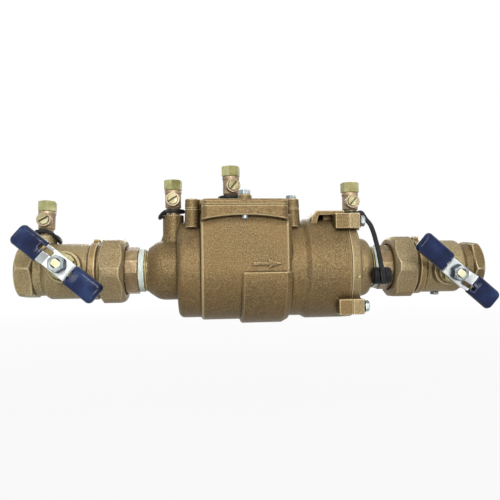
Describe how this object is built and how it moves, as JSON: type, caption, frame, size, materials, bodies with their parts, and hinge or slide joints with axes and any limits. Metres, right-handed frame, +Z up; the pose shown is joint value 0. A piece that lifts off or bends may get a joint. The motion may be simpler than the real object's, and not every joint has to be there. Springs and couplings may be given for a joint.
{
  "type": "backflow preventer",
  "caption": "In-line double check backflow preventer in cast bronze with quarter-turn shut-off valves, test cocks and bolted access covers.",
  "frame": {"origin": "centre of the inlet mouth on the pipe axis", "axes": "+X along the flow to the outlet, +Y away from the handles, +Z up towards the top cover"},
  "size_m": [0.369, 0.0983, 0.1246],
  "materials": {
    "cast_bronze": "sand cast, satin",
    "machined_bronze": "machined, semi-gloss",
    "cock_bronze": "cast, satin",
    "brass": "machined, semi-gloss",
    "chrome_ball": "polished",
    "zinc_plate": "bright zinc plated",
    "navy_vinyl": "glossy dipped vinyl",
    "white_ptfe": "matt",
    "spring_steel": "satin",
    "dark_resin": "matt",
    "tether_rubber": "satin",
    "seal_rubber": "matt"
  },
  "bodies": {
    "housing": {"main_body": "cast_bronze", "top_cover": "cast_bronze", "cover_o_ring": "seal_rubber", "cover_bolts": "zinc_plate", "outlet_cover": "cast_bronze", "outlet_cover_o_ring": "seal_rubber", "outlet_cover_bolts": "zinc_plate", "outlet_cover_washers": "seal_rubber", "first_check_seat": "dark_resin", "first_check_cage": "dark_resin", "first_check_spring": "spring_steel", "second_check_seat": "dark_resin", "second_check_cage": "dark_resin", "second_check_spring": "spring_steel", "check_o_rings": "seal_rubber", "inlet_valve_body": "cast_bronze", "inlet_union_nut": "cast_bronze", "inlet_tailpiece": "machined_bronze", "inlet_seat_retainer": "brass", "inlet_packing_nut": "brass", "outlet_valve_body": "cast_bronze", "outlet_union_nut": "cast_bronze", "outlet_tailpiece": "machined_bronze", "outlet_seat_retainer": "brass", "outlet_packing_nut": "brass", "outlet_tapping_plug": "zinc_plate", "ball_seats": "white_ptfe", "stem_packings": "white_ptfe", "union_o_rings": "seal_rubber", "thread_tapes": "white_ptfe", "test_cock_1_body": "cock_bronze", "test_cock_1_outlet": "brass", "test_cock_2_body": "cock_bronze", "test_cock_2_outlet": "brass", "test_cock_3_body": "cock_bronze", "test_cock_3_outlet": "brass", "test_cock_4_body": "cock_bronze", "test_cock_4_outlet": "brass", "tether_loops": "tether_rubber", "tether_strap": "tether_rubber", "tether_cap": "tether_rubber"},
    "inlet_handle_body": {"inlet_ball": "chrome_ball", "inlet_stem": "brass", "inlet_handle": "zinc_plate", "inlet_handle_grips": "navy_vinyl", "inlet_handle_nut": "zinc_plate"},
    "outlet_handle_body": {"outlet_ball": "chrome_ball", "outlet_stem": "brass", "outlet_handle": "zinc_plate", "outlet_handle_grips": "navy_vinyl", "outlet_handle_nut": "zinc_plate"},
    "cock_plug_1": {"test_cock_1_plug": "brass"},
    "cock_plug_2": {"test_cock_2_plug": "brass"},
    "cock_plug_3": {"test_cock_3_plug": "brass"},
    "cock_plug_4": {"test_cock_4_plug": "brass"},
    "first_poppet": {"first_check_poppet": "dark_resin", "first_check_disc": "seal_rubber"},
    "second_poppet": {"second_check_poppet": "dark_resin", "second_check_disc": "seal_rubber"}
  },
  "joints": [
    {"name": "inlet_handle_turn", "type": "hinge", "parent": "housing", "child": "inlet_handle_body", "pos_m": [0.0384, 0, 0], "axis": [0, -0.9925, 0.1219], "range_deg": [-50.5, 39.5]},
    {"name": "outlet_handle_turn", "type": "hinge", "parent": "housing", "child": "outlet_handle_body", "pos_m": [0.3346, 0, 0], "axis": [0, -0.9925, -0.1219], "range_deg": [-50.5, 39.5]},
    {"name": "test_cock_1_turn", "type": "hinge", "parent": "housing", "child": "cock_plug_1", "pos_m": [0.0178, 0.00485, 0.0395], "axis": [0, -0.9925, 0.1219], "range_deg": [-31, 59]},
    {"name": "test_cock_2_turn", "type": "hinge", "parent": "housing", "child": "cock_plug_2", "pos_m": [0.117, 0, 0.0557], "axis": [0, -1, 0], "range_deg": [-32, 58]},
    {"name": "test_cock_3_turn", "type": "hinge", "parent": "housing", "child": "cock_plug_3", "pos_m": [0.163, -0.01, 0.0652], "axis": [0.1736, -0.9848, 0], "range_deg": [-52, 38]},
    {"name": "test_cock_4_turn", "type": "hinge", "parent": "housing", "child": "cock_plug_4", "pos_m": [0.26, -0.008, 0.0528], "axis": [0, -1, 0], "range_deg": [-48, 42]},
    {"name": "first_check_lift", "type": "slide", "parent": "housing", "child": "first_poppet", "axis": [1, 0, 0], "range_m": [0, 0.008], "stiffness_N_per_m": 400, "springref_m": -0.01, "deforming": ["first_check_spring"]},
    {"name": "second_check_lift", "type": "slide", "parent": "housing", "child": "second_poppet", "axis": [1, 0, 0], "range_m": [0, 0.008], "stiffness_N_per_m": 400, "springref_m": -0.01, "deforming": ["second_check_spring"]}
  ]
}
